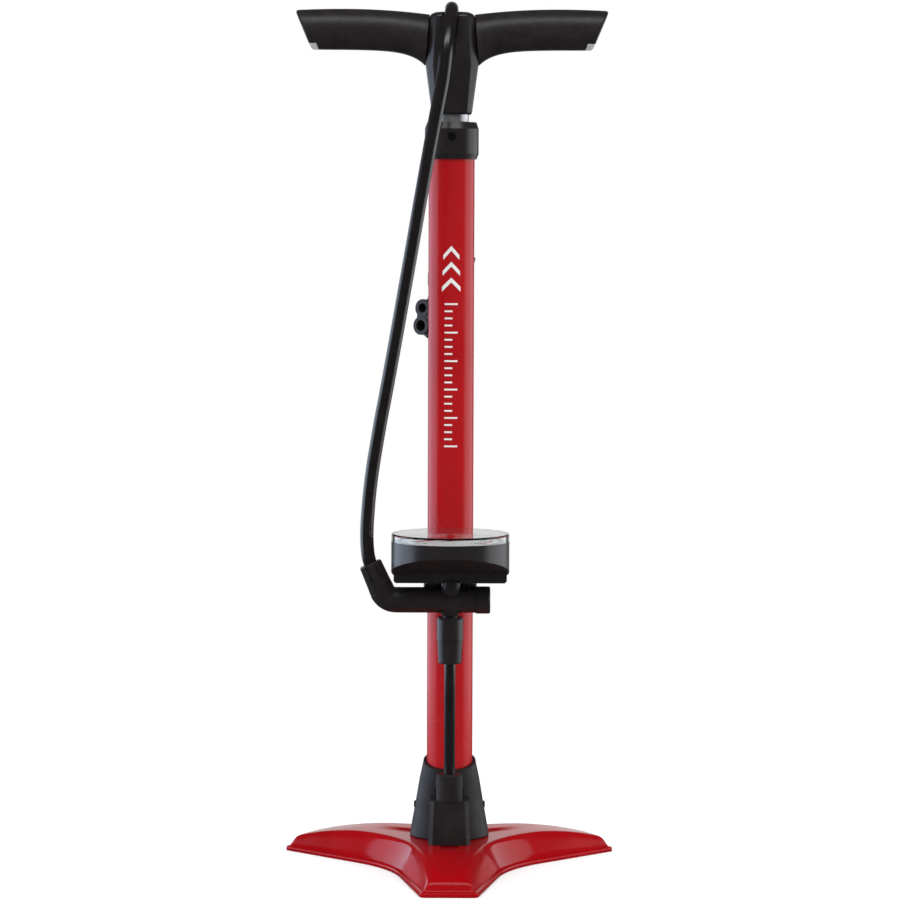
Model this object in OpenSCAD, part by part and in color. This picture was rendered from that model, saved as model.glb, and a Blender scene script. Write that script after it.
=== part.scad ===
// Floor bike pump, standing on its tripod base with the handle down and the hose stowed.
// Origin on the floor at the barrel's axis, +Z up, front towards -Y. Millimetres.

/* [Barrel and rod] */
// Outside diameter of the barrel
barrel_d = 35; // [34.6:0.1:35.2]
// Wall thickness of the barrel
barrel_wall = 1.5; // [1.2:0.1:1.6]
// Outside diameter of the piston rod
rod_d = 26; // [25.6:0.1:26]
// Height of the barrel's top edge above the floor
barrel_top = 556; // [555:0.5:557]

/* [Base] */
// Reach of each leg from the barrel's axis
leg_reach = 137; // [125:1:145]
// Half width of a leg at its tip
leg_half_w = 21; // [19:0.5:23]
// Distance from the axis to the middle of the fork between two legs
fork_r = 57; // [56:0.5:60]
// Thickness of the pressed steel plate
plate_t = 2; // [1.6:0.1:2]

/* [Gauge] */
// Radius of the gauge drum
gauge_r = 44.2; // [43.8:0.1:44.6]
// Height of the lens above the floor
gauge_top = 261; // [260.6:0.1:261.4]

/* [Hose] */
// Outside diameter of the long hose
hose_d = 10.2; // [9.5:0.1:10.6]
// Outside diameter of the short riser tube
riser_d = 8.4; // [8:0.1:8.6]

/* [Handle] */
// Distance from the axis to the top corner of a grip's end
handle_half = 119; // [114:0.5:120]

/* [Hidden] */

eps = 0.05;
round_fn = 96;
fit = 0.05;

// Colours
red = "#a8151d";
black = "#17181b";
soft_black = "#222326";
silver = "#c9ccd0";
brass = "#b08d57";
rubber = "#1b1b1d";

// Heights of the main levels
plate_z = 22.2;
lip_z = 3.5;
socket_floor = 36;
barrel_z0 = 38;
cap_z0 = 540.7;
cap_z1 = 568.7;
stem_z0 = 574.4;
bar_z = 638.5;

barrel_r = barrel_d / 2;
bore_r = barrel_r - barrel_wall;
rod_r = rod_d / 2;
hose_r = hose_d / 2;

function mix(a, b, t) = a + (b - a) * t;
function unit(v) = v / norm(v);
function flat(lists) = [for (l = lists) for (v = l) v];

// Closed skin through rings of equal size; it runs back to the first ring
module ring_band(rings) {
    count = len(rings);
    n = len(rings[0]);
    faces = [for (k = [0:count - 1], i = [0:n - 1])
        let (a = k * n, b = ((k + 1) % count) * n, j = (i + 1) % n)
        [a + i, b + i, b + j, a + j]];
    polyhedron(points = flat(rings), faces = faces);
}

// Closed skin through rings of equal size, with a flat face at each end
module ring_stack(rings) {
    count = len(rings);
    n = len(rings[0]);
    sides = [for (k = [0:count - 2], i = [0:n - 1])
        let (a = k * n, b = (k + 1) * n, j = (i + 1) % n)
        [a + i, b + i, b + j, a + j]];
    first = [for (i = [0:n - 1]) i];
    last = [for (i = [n - 1:-1:0]) (count - 1) * n + i];
    polyhedron(points = flat(rings), faces = concat([first], sides, [last]));
}

// Tube swept along a list of points, its ends square to the path
function path_dir(p, i) = unit(p[min(i + 1, len(p) - 1)] - p[max(i - 1, 0)]);
function side_of(t) = unit(cross(t, abs(t.x) < 0.9 ? [1, 0, 0] : [0, 1, 0]));
function tube_ring(p, i, r, n) =
    let (t = path_dir(p, i), u = side_of(t), v = cross(t, u))
    [for (k = [0:n - 1]) p[i] + r * (cos(360 * k / n) * u + sin(360 * k / n) * v)];
module swept_tube(p, r, n) {
    ring_stack([for (i = [len(p) - 1:-1:0]) tube_ring(p, i, r, n)]);
}

// Ring of round section about the local Z axis
module o_ring(ring_r, section_r) {
    rotate_extrude($fn = 48) translate([ring_r, 0]) circle(section_r, $fn = 24);
}

// Smooth curve of several steps through hand-placed points
function spline_at(p, i, t) =
    let (a = p[max(i - 1, 0)], b = p[i], c = p[i + 1], d = p[min(i + 2, len(p) - 1)])
    0.5 * (2 * b + (c - a) * t + (2 * a - 5 * b + 4 * c - d) * t * t
        + (3 * b - a - 3 * c + d) * t * t * t);
function smooth_path(p, steps) =
    concat([for (i = [0:len(p) - 2], s = [0:steps - 1]) spline_at(p, i, s / steps)],
        [p[len(p) - 1]]);

// ---------------------------------------------------------------- base
leg_taper = 12;
corner_r = 4;
flange_w = 3;
wall_run = 0.5;
dome_z = 24;
dome_k = 1250;
side_n = [sin(leg_taper), cos(leg_taper)];
side_reach = leg_reach * side_n.x + leg_half_w * side_n.y;
fork_s = sin(60 + leg_taper);
fork_arc = (fork_r * fork_s - side_reach) / (1 - fork_s);
fork_c = (fork_r + fork_arc) * [cos(60), sin(60)];
hub_hole_r = 12;
leg_angles = [-90, 30, 150];

// Where the side and the tip meet when both are moved in by d
function corner_at(d) =
    [leg_reach - d, (side_reach - d - (leg_reach - d) * side_n.x) / side_n.y];
function corner_fillet(d) = max(corner_r - d, 1.5);

// Half of a leg's plan, moved in by d: fork arc, straight side, rounded corner, tip
function half_leg(d) =
    let (fr = corner_fillet(d), cc = corner_at(d + fr), end = 90 - leg_taper,
        touch = fork_c - (fork_arc + d) * [cos(end), sin(end)])
    concat(
        [for (i = [0:4]) let (a = mix(60, end, i / 4))
            fork_c - (fork_arc + d) * [cos(a), sin(a)]],
        [for (i = [1:2]) mix(touch, cc + fr * side_n, i / 3)],
        [for (i = [0:3]) cc + fr * [cos(end * (1 - i / 3)), sin(end * (1 - i / 3))]],
        [[leg_reach - d, 0]]);

half_count = len(half_leg(0));
function dome(r) = min(plate_z, dome_z - r * r / dome_k);

// One point of the pressing: i counts along half a leg, f runs up the wall
function wall_point(i, f, inset, drop) =
    let (top = dome(norm(half_leg(0)[i]) - 8),
        rise = f * (top - lip_z),
        p = half_leg(inset + wall_run * rise)[i])
    [p.x, p.y, lip_z + rise - drop];
function lip_point(i, inset, z) = let (p = half_leg(inset)[i]) [p.x, p.y, z];
function crown_point(i, scale, drop) =
    let (w = wall_point(i, 1, flange_w + 1.5, 0), p = [w.x, w.y] * scale)
    [p.x, p.y, min(dome(norm(p)), w.z + (1 - scale) * 100) - drop];
function hub_point(i, z) =
    let (p = half_leg(0)[i], a = atan2(p.y, p.x)) [hub_hole_r * cos(a), hub_hole_r * sin(a), z];

// Three legs made from half a leg's points
function whole_ring(half) =
    let (last = half_count - 1,
        leg = concat([for (p = half) [p.x, -p.y, p.z]],
            [for (i = [last - 1:-1:1]) half[i]]))
    [for (a = leg_angles) for (p = leg)
        [p.x * cos(a) - p.y * sin(a), p.x * sin(a) + p.y * cos(a), p.z]];

half_range = [0:half_count - 1];
plate_rings = [
    whole_ring([for (i = half_range) lip_point(i, 0, 0)]),
    whole_ring([for (i = half_range) lip_point(i, 0, lip_z - 1)]),
    whole_ring([for (i = half_range) lip_point(i, 1, lip_z)]),
    whole_ring([for (i = half_range) wall_point(i, 0, flange_w, 0)]),
    whole_ring([for (i = half_range) wall_point(i, 0.9, flange_w, 0)]),
    whole_ring([for (i = half_range) crown_point(i, 1, 0)]),
    whole_ring([for (i = half_range) crown_point(i, 0.7, 0)]),
    whole_ring([for (i = half_range) crown_point(i, 0.45, 0)]),
    whole_ring([for (i = half_range) hub_point(i, plate_z)]),
    whole_ring([for (i = half_range) hub_point(i, plate_z - plate_t)]),
    whole_ring([for (i = half_range) crown_point(i, 0.45, plate_t)]),
    whole_ring([for (i = half_range) crown_point(i, 0.7, plate_t)]),
    whole_ring([for (i = half_range) wall_point(i, 0.85, flange_w + plate_t + 0.8, plate_t * 0.7)]),
    whole_ring([for (i = half_range) wall_point(i, 0, flange_w + plate_t, plate_t * 0.7)]),
    whole_ring([for (i = half_range) lip_point(i, plate_t, lip_z - plate_t * 0.7)]),
    whole_ring([for (i = half_range) lip_point(i, plate_t, 0)])
];

bolt_circle_r = 24;
bolt_angles = [90, 210, 330];
bolt_r = 2.5;

module at_bolts() {
    for (a = bolt_angles)
        rotate([0, 0, a]) translate([bolt_circle_r, 0, 0]) children();
}

module base_plate() color(red) difference() {
    ring_band(plate_rings);
    at_bolts() translate([0, 0, 15]) cylinder(r = bolt_r + 0.2, h = 10, $fn = 32);
}

// Rubber pads in the hollow of each leg's tip
pad_x = leg_reach - 26;
module rubber_feet() color(rubber)
    for (a = leg_angles) rotate([0, 0, a]) translate([pad_x, 0, 0]) difference() {
        union() {
            linear_extrude(6.5) offset(3) square([12, 14], center = true);
            translate([0, 0, 6]) cylinder(r = 3, h = 1.6, $fn = 32);
        }
        for (y = [-6, 0, 6]) translate([0, y, -eps]) cube([20, 1.2, 1.2], center = true);
    }

module base_bolts() color(silver) at_bolts() difference() {
    union() {
        translate([0, 0, plate_z - plate_t - 3.2]) cylinder(r = 4.6, h = 3.2, $fn = 48);
        translate([0, 0, plate_z - plate_t - 0.1]) cylinder(r = bolt_r, h = 13.9, $fn = 48);
    }
    translate([0, 0, plate_z - plate_t - 3.3]) cylinder(r = 2.4, h = 2.2, $fn = 6);
}

// Collar that holds the barrel, with the outlet valve's boss at its front
collar_r0 = 30.4;
collar_r1 = 20;
collar_rim = 80.2;
rim_tilt = 15;
boss_top = 55.5;
valve_y = -38;
nub_z = 45.8;
ball_r = 3.4;
seat_r = 1.8;
chamber_r = 4.2;
passage_z = 30;

// Boss section: a block with its front corners cut off
module boss_slab(half_w, front, z) {
    translate([0, 0, z]) linear_extrude(0.4)
        polygon([[-half_w, -12], [-half_w, front + 4], [-half_w + 3.2, front], [0, front - 0.6],
            [half_w - 3.2, front], [half_w, front + 4], [half_w, -12]]);
}

module base_collar() color(soft_black) difference() {
    union() {
        rotate_extrude($fn = 128)
            polygon([[0, plate_z], [collar_r0 - 0.6, plate_z], [collar_r0, plate_z + 1],
                [26.4, nub_z], [23, 66], [collar_r1, collar_rim], [19.4, 93], [0, 93]]);
        hull() {
            boss_slab(16, -47.5, plate_z);
            boss_slab(14.8, -46, boss_top - 0.4);
        }
        hull() {
            translate([-11, -30, 40]) cube([22, 10, 24]);
            translate([-9, -24, 40]) cube([18, 4, 30]);
        }
    }
    translate([0, 0, socket_floor]) cylinder(r = barrel_r + fit, h = 80, $fn = 128);
    translate([0, 0, collar_rim]) rotate([rim_tilt, 0, 0]) translate([-60, -60, 0])
        cube([120, 120, 60]);
    translate([0, valve_y, boss_top]) cylinder(r = 10.6, h = 40, $fn = 64);
    translate([0, valve_y, 50]) cylinder(r = 6, h = 10, $fn = 48);
    translate([0, valve_y, socket_floor]) cylinder(r = chamber_r, h = 20, $fn = 48);
    translate([0, valve_y, passage_z]) cylinder(r = seat_r, h = 10, $fn = 32);
    translate([0, 0, passage_z]) cylinder(r = 2, h = 10, $fn = 32);
    translate([0, valve_y, passage_z]) rotate([-90, 0, 0])
        cylinder(r = 2, h = -valve_y, $fn = 32);
    at_bolts() translate([0, 0, 15]) cylinder(r = bolt_r + fit, h = 19.2, $fn = 32);
    for (s = [-1, 1]) translate([0, 0, nub_z]) rotate([0, 90 * s, 0])
        union() {
            cylinder(r = 2 + fit, h = 40, $fn = 32);
            translate([0, 0, 26]) cylinder(r = 3, h = 10, $fn = 48);
        }
}

// Button-head screws that lock the collar to the barrel from both sides
module collar_screws() color(soft_black)
    for (s = [-1, 1]) translate([0, 0, nub_z]) rotate([0, 90 * s, 0]) difference() {
        union() {
            translate([0, 0, 26.05]) cylinder(r1 = 2.9, r2 = 2.4, h = 1.3, $fn = 48);
            translate([0, 0, 16.75]) cylinder(r = 2, h = 10.2, $fn = 32);
        }
        translate([0, 0, 26.6]) cylinder(r = 1.2, h = 2, $fn = 6);
    }

module barrel() color(red) difference() {
    translate([0, 0, barrel_z0]) cylinder(r = barrel_r, h = barrel_top - barrel_z0, $fn = 128);
    translate([0, 0, barrel_z0 - 1]) cylinder(r = bore_r, h = 600, $fn = 128);
    for (s = [-1, 1]) translate([0, 0, nub_z]) rotate([0, 90 * s, 0])
        translate([0, 0, 16.7]) cylinder(r = 2 + fit, h = 5, $fn = 32);
}

module barrel_seal() color(rubber) translate([0, 0, socket_floor])
    difference() {
        cylinder(r = barrel_r - 0.1, h = barrel_z0 - socket_floor, $fn = round_fn);
        translate([0, 0, -1]) cylinder(r = 12, h = 5, $fn = round_fn);
    }

// One-way valve in the outlet
ball_z = socket_floor + sqrt(ball_r * ball_r - seat_r * seat_r) + 0.03;
spring_z0 = ball_z + ball_r + 0.1;
spring_z1 = 49.9;
module check_ball() color(silver) translate([0, valve_y, ball_z]) sphere(r = ball_r, $fn = 48);

module check_spring() color(silver) translate([0, valve_y, spring_z0])
    linear_extrude(height = spring_z1 - spring_z0, twist = -360 * 4, slices = 48)
        translate([2.4, 0]) circle(r = 0.5, $fn = 8);

module outlet_ferrule() color(black) translate([0, valve_y, 0]) difference() {
    rotate_extrude($fn = round_fn)
        polygon([[0, 50], [6 - fit, 50], [6 - fit, boss_top + 0.1], [10.1, boss_top + 0.1],
            [10.1, 74.7], [9.3, 75.5], [0, 75.5]]);
    translate([0, 0, 49]) cylinder(r = 2, h = 20, $fn = 32);
    translate([0, 0, 60]) cylinder(r = riser_d / 2 + 0.15, h = 20, $fn = 48);
}

// ---------------------------------------------------------------- riser and manifold
pipe_y = -46;
pipe_z = 209;
pipe_r = 9.7;
pipe_x0 = -36.7;
pipe_x1 = 19.3;
post_x = 0.6;
post_y = -53;
riser_route = [[0, valve_y, 60.2], [0, valve_y, 72], [0, valve_y, 80], [0, -38.6, 90],
    [0, -39.8, 102], [0, -41.4, 116], [0, -43, 130], [0, -44.6, 144], [0, -45.6, 156],
    [0, pipe_y, 166], [0, pipe_y, 176]];

module riser_tube() color(rubber) swept_tube(riser_route, riser_d / 2, 12);

module riser_sleeve() color(soft_black) translate([0, pipe_y, 0]) difference() {
    rotate_extrude($fn = round_fn)
        polygon([[0, 161], [8.4, 161], [8.9, 161.6], [9.7, 179], [0, 179]]);
    translate([0, 0, 160]) cylinder(r = riser_d / 2 + 0.15, h = 30, $fn = 48);
    translate([6, -2.5, 160]) cube([5, 2.2, 11]);
}

module riser_nut() color(soft_black) translate([0, pipe_y, 0]) difference() {
    rotate_extrude($fn = round_fn)
        polygon([[0, 179.1], [9.9, 179.1], [9.95, 194.6], [9.2, 196], [0, 196]]);
    translate([0, 0, 183]) cylinder(r = 5.6 + fit, h = 20, $fn = 48);
    translate([0, 0, 178]) cylinder(r = 2.4, h = 20, $fn = 32);
}

module riser_seal() color(rubber) translate([0, pipe_y, 183.9]) o_ring(4.4, 0.85);

// Manifold: cross pipe, gauge post above, hose neck below
module manifold() color(soft_black) difference() {
    union() {
        translate([pipe_x0, pipe_y, pipe_z]) rotate([0, 90, 0])
            cylinder(r = pipe_r, h = pipe_x1 - pipe_x0, $fn = round_fn);
        translate([post_x, post_y, 0]) rotate_extrude($fn = round_fn)
            polygon([[0, 213], [4.2, 213], [6.2, 215.2], [7.2, 218], [7.4, 220.5], [7, 223],
                [6.3, 225], [4, 225], [4, 235.8], [0, 235.8]]);
        translate([0, pipe_y, 184.9]) cylinder(r = 5.6, h = 20, $fn = round_fn);
        translate([0, pipe_y, 197]) cylinder(r1 = 6.4, r2 = 8, h = 6, $fn = round_fn);
    }
    translate([pipe_x0 - 1, pipe_y, pipe_z]) rotate([0, 90, 0]) cylinder(r = 3, h = 50, $fn = 48);
    translate([pipe_x0 - 1, pipe_y, pipe_z]) rotate([0, 90, 0]) cylinder(r = 6, h = 15, $fn = 48);
    translate([pipe_x1 - 10.5, pipe_y, pipe_z]) rotate([0, 90, 0])
        cylinder(r = 6, h = 20, $fn = 48);
    translate([0, pipe_y, 180]) cylinder(r = 2.2, h = pipe_z - 180, $fn = 32);
    translate([post_x, post_y, pipe_z - 3]) cylinder(r = 1.5, h = 40, $fn = 32);
    translate([post_x, pipe_y, pipe_z]) rotate([90, 0, 0]) cylinder(r = 1.5, h = 8, $fn = 32);
    for (s = [-1, 1]) translate([14 * s, pipe_y + 3, 216])
        cylinder(r = 1.5 + fit, h = 10, $fn = 24);
}

module spigot_groove() {
    difference() {
        cylinder(r = 7, h = 2, $fn = 48, center = true);
        cylinder(r = 4.3, h = 3, $fn = 48, center = true);
    }
}

module manifold_cap() color(black) translate([pipe_x1, pipe_y, pipe_z]) rotate([0, 90, 0])
    difference() {
        union() {
            rotate_extrude($fn = round_fn)
                polygon([[0, 0.05], [10.3, 0.05], [10.3, 10], [9.5, 10.9], [0, 10.9]]);
            translate([0, 0, -9.5]) cylinder(r = 5.9, h = 10, $fn = 48);
        }
        translate([0, 0, -5]) spigot_groove();
        translate([0, 0, 9.7]) cylinder(r = 3, h = 2, $fn = 6);
    }

module manifold_seals() color(rubber) {
    for (x = [pipe_x1 - 5, pipe_x0 + 6])
        translate([x, pipe_y, pipe_z]) rotate([0, 90, 0]) o_ring(5.15, 0.8);
}

module manifold_screws() color(silver)
    for (s = [-1, 1]) translate([14 * s, pipe_y + 3, 0]) difference() {
        union() {
            translate([0, 0, 216.1]) cylinder(r = 1.5, h = 3.5, $fn = 32);
            translate([0, 0, 219.3]) cylinder(r1 = 1.5, r2 = 2.7, h = 1.3, $fn = 32);
        }
        translate([0, 0, 219.6]) cylinder(r = 0.9, h = 2, $fn = 6);
    }

// Elbow: a tight bend of the pipe that turns up and outwards, with a short straight end
bend_r = 10.9;
bend_x = -41.1;
stub_len = 3.8;
bend_angle = 66.1;
bend_end = 270 - bend_angle;
nut_len = 19.1;

// Puts +Z along the hose's first stretch, at the elbow's end
module at_elbow_end() {
    translate([bend_x, pipe_y, pipe_z + bend_r])
        translate([bend_r * cos(bend_end), 0, bend_r * sin(bend_end)])
        rotate([0, bend_angle - 90, 0]) children();
}

module at_nut() {
    at_elbow_end() translate([0, 0, stub_len]) children();
}

module bend_solid(r, a0, a1) {
    translate([bend_x, pipe_y, pipe_z + bend_r]) rotate([90, 0, 0])
        rotate([0, 0, a0]) rotate_extrude(angle = a1 - a0, $fn = 128)
        translate([bend_r, 0]) circle(r, $fn = 64);
}

module swivel_elbow() color(soft_black) difference() {
    union() {
        bend_solid(9.6, bend_end, 270);
        translate([bend_x, pipe_y, pipe_z]) rotate([0, 90, 0])
            cylinder(r = pipe_r, h = pipe_x0 - bend_x - 0.06, $fn = round_fn);
        translate([pipe_x0 - 0.2, pipe_y, pipe_z]) rotate([0, 90, 0])
            cylinder(r = 5.9, h = 13.5, $fn = 48);
        at_elbow_end() translate([0, 0, -1]) cylinder(r = 9.45, h = 1 + stub_len, $fn = round_fn);
        at_nut() translate([0, 0, -1]) cylinder(r = 5.1, h = 6.4, $fn = 48);
    }
    bend_solid(3, bend_end - 1, 271);
    translate([bend_x - 1, pipe_y, pipe_z]) rotate([0, 90, 0]) cylinder(r = 2.7, h = 20, $fn = 48);
    at_elbow_end() translate([0, 0, -1]) cylinder(r = 2.7, h = 9 + stub_len, $fn = 48);
    translate([pipe_x0 + 6, pipe_y, pipe_z]) rotate([0, 90, 0]) spigot_groove();
}

module hose_nut() color(black) at_nut() difference() {
    rotate_extrude($fn = round_fn)
        polygon([[0, 0.1], [9.3, 0.1], [8.6, nut_len - 0.8], [7.9, nut_len], [0, nut_len]]);
    translate([0, 0, -1]) cylinder(r = hose_r + 0.3, h = 40, $fn = 48);
    for (a = [0:45:315]) rotate([0, 0, a + 22.5]) translate([8.1, -0.6, 6])
        cube([3, 1.2, 20]);
}

// Long hose: up from the elbow, over the handle, down behind the barrel to the head
loop_r = 42;
loop_z = 612.8;
loop_x = -0.3;
hose_route = [[-55, -46, 224.3], [-58.6, -46, 232.5], [-61.4, -46, 240.6], [-62.6, -46, 250],
    [-62.8, -46, 262], [-62, -46, 276], [-60.6, -46, 292], [-58.3, -46, 310],
    [-55.4, -46, 328], [-52.3, -46, 346], [-48.9, -46, 364], [-42.4, -46, 400],
    [-36.1, -45.6, 436], [-29.8, -45, 472], [-23.6, -44.4, 508], [-17.6, -43.6, 542],
    [-12.1, -42.8, 572], [-6.9, -42.2, 600], [-4.4, -41, 622], [-3, -36.4, 634],
    [-1.9, -29.6, 642.4], [-0.6, -18, 650.6], [-0.3, 0, 654.8], [0, 18, 650.6],
    [0.5, 29.6, 642.4], [1, 36.4, 634], [1.4, 41, 622], [1.6, 42.4, 600], [1, 42, 570],
    [-1, 40, 540], [-3.1, 36.6, 508], [-5.1, 33, 480], [-7.4, 30.6, 464], [-8.8, 30, 450],
    [-9.7, 30, 438.5]];

module main_hose() color(rubber)
    swept_tube(smooth_path(hose_route, 2), hose_r, 10);

// ---------------------------------------------------------------- barrel clamp
clamp_z0 = 202;
clamp_z1 = 220.8;
clamp_r = 20.4;
ear_x = 23.6;
ear_z0 = 202;
ear_z1 = 213;
clamp_hole_z = 207.5;
split_gap = 0.4;

module clamp_front() color(soft_black) difference() {
    union() {
        translate([0, 0, clamp_z0]) cylinder(r = clamp_r, h = clamp_z1 - clamp_z0, $fn = 128);
        translate([-28.5, -6.5, ear_z0]) cube([57, 7, ear_z1 - ear_z0]);
        translate([-19.2, -44.5, clamp_z0]) cube([38.4, 32, clamp_z1 - clamp_z0]);
    }
    translate([0, 0, clamp_z0 - 1]) cylinder(r = barrel_r + fit, h = 30, $fn = 128);
    translate([-60, -split_gap, clamp_z0 - 1]) cube([120, 60, 30]);
    translate([-40, pipe_y, pipe_z]) rotate([0, 90, 0])
        cylinder(r = pipe_r + fit, h = 90, $fn = round_fn);
    translate([-8.9, -50, clamp_z0 - 1]) cube([17.8, 12.5, 30]);
    for (s = [-1, 1]) {
        translate([ear_x * s, -10, clamp_hole_z]) rotate([-90, 0, 0])
            cylinder(r = 2 + fit, h = 12, $fn = 32);
        translate([14 * s, pipe_y + 3, 212]) cylinder(r = 1.5 + fit, h = 12, $fn = 24);
        translate([14 * s, pipe_y + 3, 219.25]) cylinder(r1 = 1.55, r2 = 3.05, h = 1.6, $fn = 32);
    }
}

module clamp_rear() color(soft_black) difference() {
    union() {
        translate([0, 0, clamp_z0]) cylinder(r = clamp_r, h = clamp_z1 - clamp_z0, $fn = 128);
        translate([-28.5, -1, ear_z0]) cube([57, 7, ear_z1 - ear_z0]);
    }
    translate([0, 0, clamp_z0 - 1]) cylinder(r = barrel_r + fit, h = 30, $fn = 128);
    translate([-60, -60 + split_gap, clamp_z0 - 1]) cube([120, 60, 30]);
    for (s = [-1, 1]) translate([ear_x * s, -2, clamp_hole_z]) rotate([-90, 0, 0])
        cylinder(r = 2.2, h = 12, $fn = 32);
}

module clamp_screws() color(silver)
    for (s = [-1, 1]) translate([ear_x * s, 0, clamp_hole_z]) rotate([-90, 0, 0]) difference() {
        union() {
            translate([0, 0, 6.05]) cylinder(r = 3.5, h = 3.4, $fn = 48);
            translate([0, 0, -6]) cylinder(r = 2, h = 12.2, $fn = 32);
        }
        translate([0, 0, 7.4]) cylinder(r = 1.7, h = 3, $fn = 6);
    }

// ---------------------------------------------------------------- gauge
gauge_y = -63;
gauge_z0 = 222.8;
edge_r = 2.5;
step_y = -58;
step_r = 42.8;
rim_z = gauge_top - 5.7;
cut_front_z = 245.5;
cut_tilt = 17.2;
cavity_z = 246.6;
ledge_z = rim_z - 0.9;

module at_gauge(z) {
    translate([0, gauge_y, z]) children();
}

// Drum with its underside cut on the slant
module gauge_drum() difference() {
    at_gauge(0) rotate_extrude($fn = 160) union() {
        polygon([[0, gauge_z0], [gauge_r - edge_r, gauge_z0], [gauge_r - edge_r, gauge_z0 + edge_r],
            [gauge_r, gauge_z0 + edge_r], [gauge_r, rim_z], [0, rim_z]]);
        translate([gauge_r - edge_r, gauge_z0 + edge_r]) circle(edge_r, $fn = 32);
    }
    translate([0, gauge_y - gauge_r, cut_front_z]) rotate([-cut_tilt, 0, 0])
        translate([-60, -20, -60]) cube([120, 140, 60]);
}

// Step under the slant, level with the drum's lowest edge
module gauge_step() intersection() {
    at_gauge(0) rotate_extrude($fn = 160)
        polygon([[0, gauge_z0], [step_r - 1.6, gauge_z0], [step_r, gauge_z0 + 1.6],
            [step_r, gauge_z0 + 10], [0, gauge_z0 + 10]]);
    translate([-60, step_y, gauge_z0 - 1]) cube([120, 60, 20]);
}

module gauge_housing() color(black) difference() {
    union() {
        gauge_drum();
        gauge_step();
        translate([post_x, post_y, 225.3]) cylinder(r = 6, h = 8, $fn = 64);
    }
    at_gauge(cavity_z) cylinder(r = gauge_r - 3.6, h = 20, $fn = 128);
    at_gauge(ledge_z) cylinder(r = gauge_r - 2, h = 5, $fn = 128);
    translate([0, -50, 233.6]) cylinder(r = 13, h = 14, $fn = 64);
    translate([post_x, post_y, 220]) cylinder(r = 4 + fit, h = 20, $fn = 48);
    translate([post_x, post_y, 220]) cylinder(r = 7.6, h = 5.2, $fn = 48);
    translate([post_x, post_y, 229.4]) cylinder(r = 5.5, h = 1.6, $fn = 48);
}

module gauge_seal() color(rubber) translate([post_x, post_y, 230.2]) o_ring(4.75, 0.65);

module gauge_dial() color("#e9ebe8") at_gauge(ledge_z + 0.02) difference() {
    cylinder(r = gauge_r - 2.1, h = 0.8, $fn = 128);
    translate([0, 0, -1]) cylinder(r = 1.6, h = 3, $fn = 32);
}

module gauge_lens() color([0.85, 0.9, 0.92, 0.35]) at_gauge(0)
    rotate_extrude($fn = 160)
        polygon([[gauge_r - 2, rim_z + 0.05], [gauge_r, rim_z + 0.05],
            [gauge_r, gauge_top - 0.7], [gauge_r - 0.7, gauge_top], [0, gauge_top],
            [0, gauge_top - 1.6], [gauge_r - 2, gauge_top - 1.6]]);

// Curved pressure tube on its inlet block
tube_arc_r = 22;
module bourdon_tube() color(brass) difference() {
    union() {
        translate([post_x - 5, -56, cavity_z + 0.1]) cube([10, 17, 6]);
        translate([post_x, post_y, 236]) cylinder(r = 6, h = 11, $fn = 48);
        at_gauge(cavity_z + 1) rotate([0, 0, 88])
            rotate_extrude(angle = 250, $fn = 96)
            translate([tube_arc_r - 1.1, 0]) square([2.2, 5]);
        at_gauge(cavity_z + 1) rotate([0, 0, 338]) translate([tube_arc_r - 2.5, -2.5, 0])
            cube([5, 5, 5]);
    }
    translate([post_x, post_y, 235]) cylinder(r = 1.5, h = 13, $fn = 32);
}

shaft_r = 1;
module gauge_movement() color(brass) at_gauge(0) difference() {
    translate([-8, -8, cavity_z + 0.05]) linear_extrude(5.6) offset(2) square([16, 10]);
    translate([0, 0, cavity_z + 0.8]) cylinder(r = shaft_r + 0.05, h = 10, $fn = 32);
}

module gauge_pointer() color("#c4201f") at_gauge(0) {
    translate([0, 0, cavity_z + 1.2]) cylinder(r = shaft_r, h = 11, $fn = 32);
    translate([0, 0, rim_z + 0.8]) cylinder(r = 3.2, h = 2, $fn = 48);
    translate([0, 0, rim_z + 1.4]) rotate([0, 0, 225]) linear_extrude(0.6)
        polygon([[-10, -1.6], [-10, 1.6], [20, 0.9], [35, 0.25], [35, -0.25], [20, -0.9]]);
}

// ---------------------------------------------------------------- barrel top
cap_r = 20.5;
cap_screw_z = 557.5;

module top_cap() color(soft_black) difference() {
    rotate_extrude($fn = 128)
        polygon([[0, cap_z0], [cap_r - 1.6, cap_z0], [cap_r, cap_z0 + 4], [cap_r, cap_z1 - 5],
            [cap_r - 1.8, cap_z1], [0, cap_z1]]);
    translate([0, 0, cap_z0 - 1]) cylinder(r = barrel_r + fit, h = barrel_top + 4.1 - cap_z0,
        $fn = 128);
    translate([0, 0, 550]) cylinder(r = 14.6, h = 16, $fn = round_fn);
    translate([0, 0, 560]) cylinder(r = rod_r + 0.4, h = 20, $fn = round_fn);
    translate([0, 0, cap_screw_z]) rotate([90, 0, 0]) {
        cylinder(r = 1.5 + fit, h = 30, $fn = 32);
        translate([0, 0, 19.2]) cylinder(r = 3.2, h = 5, $fn = 48);
    }
}

module cap_screw() color(silver) translate([0, 0, cap_screw_z]) rotate([90, 0, 0])
    difference() {
        union() {
            translate([0, 0, 17.8]) cylinder(r = 1.5, h = 1.6, $fn = 32);
            translate([0, 0, 19.25]) cylinder(r1 = 2.9, r2 = 2.5, h = 0.9, $fn = 48);
        }
        translate([0, 0, 19]) cylinder(r = 1.4, h = 3, $fn = 6);
    }

module guide_bush() color("#d8d5c8") difference() {
    rotate_extrude($fn = round_fn)
        polygon([[0, 535], [bore_r - 0.1, 535], [bore_r - 0.1, barrel_top + 0.05],
            [barrel_r - 0.1, barrel_top + 0.05], [barrel_r - 0.1, barrel_top + 3], [0, barrel_top + 3]]);
    translate([0, 0, 530]) cylinder(r = rod_r + 0.05, h = 40, $fn = round_fn);
}

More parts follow.
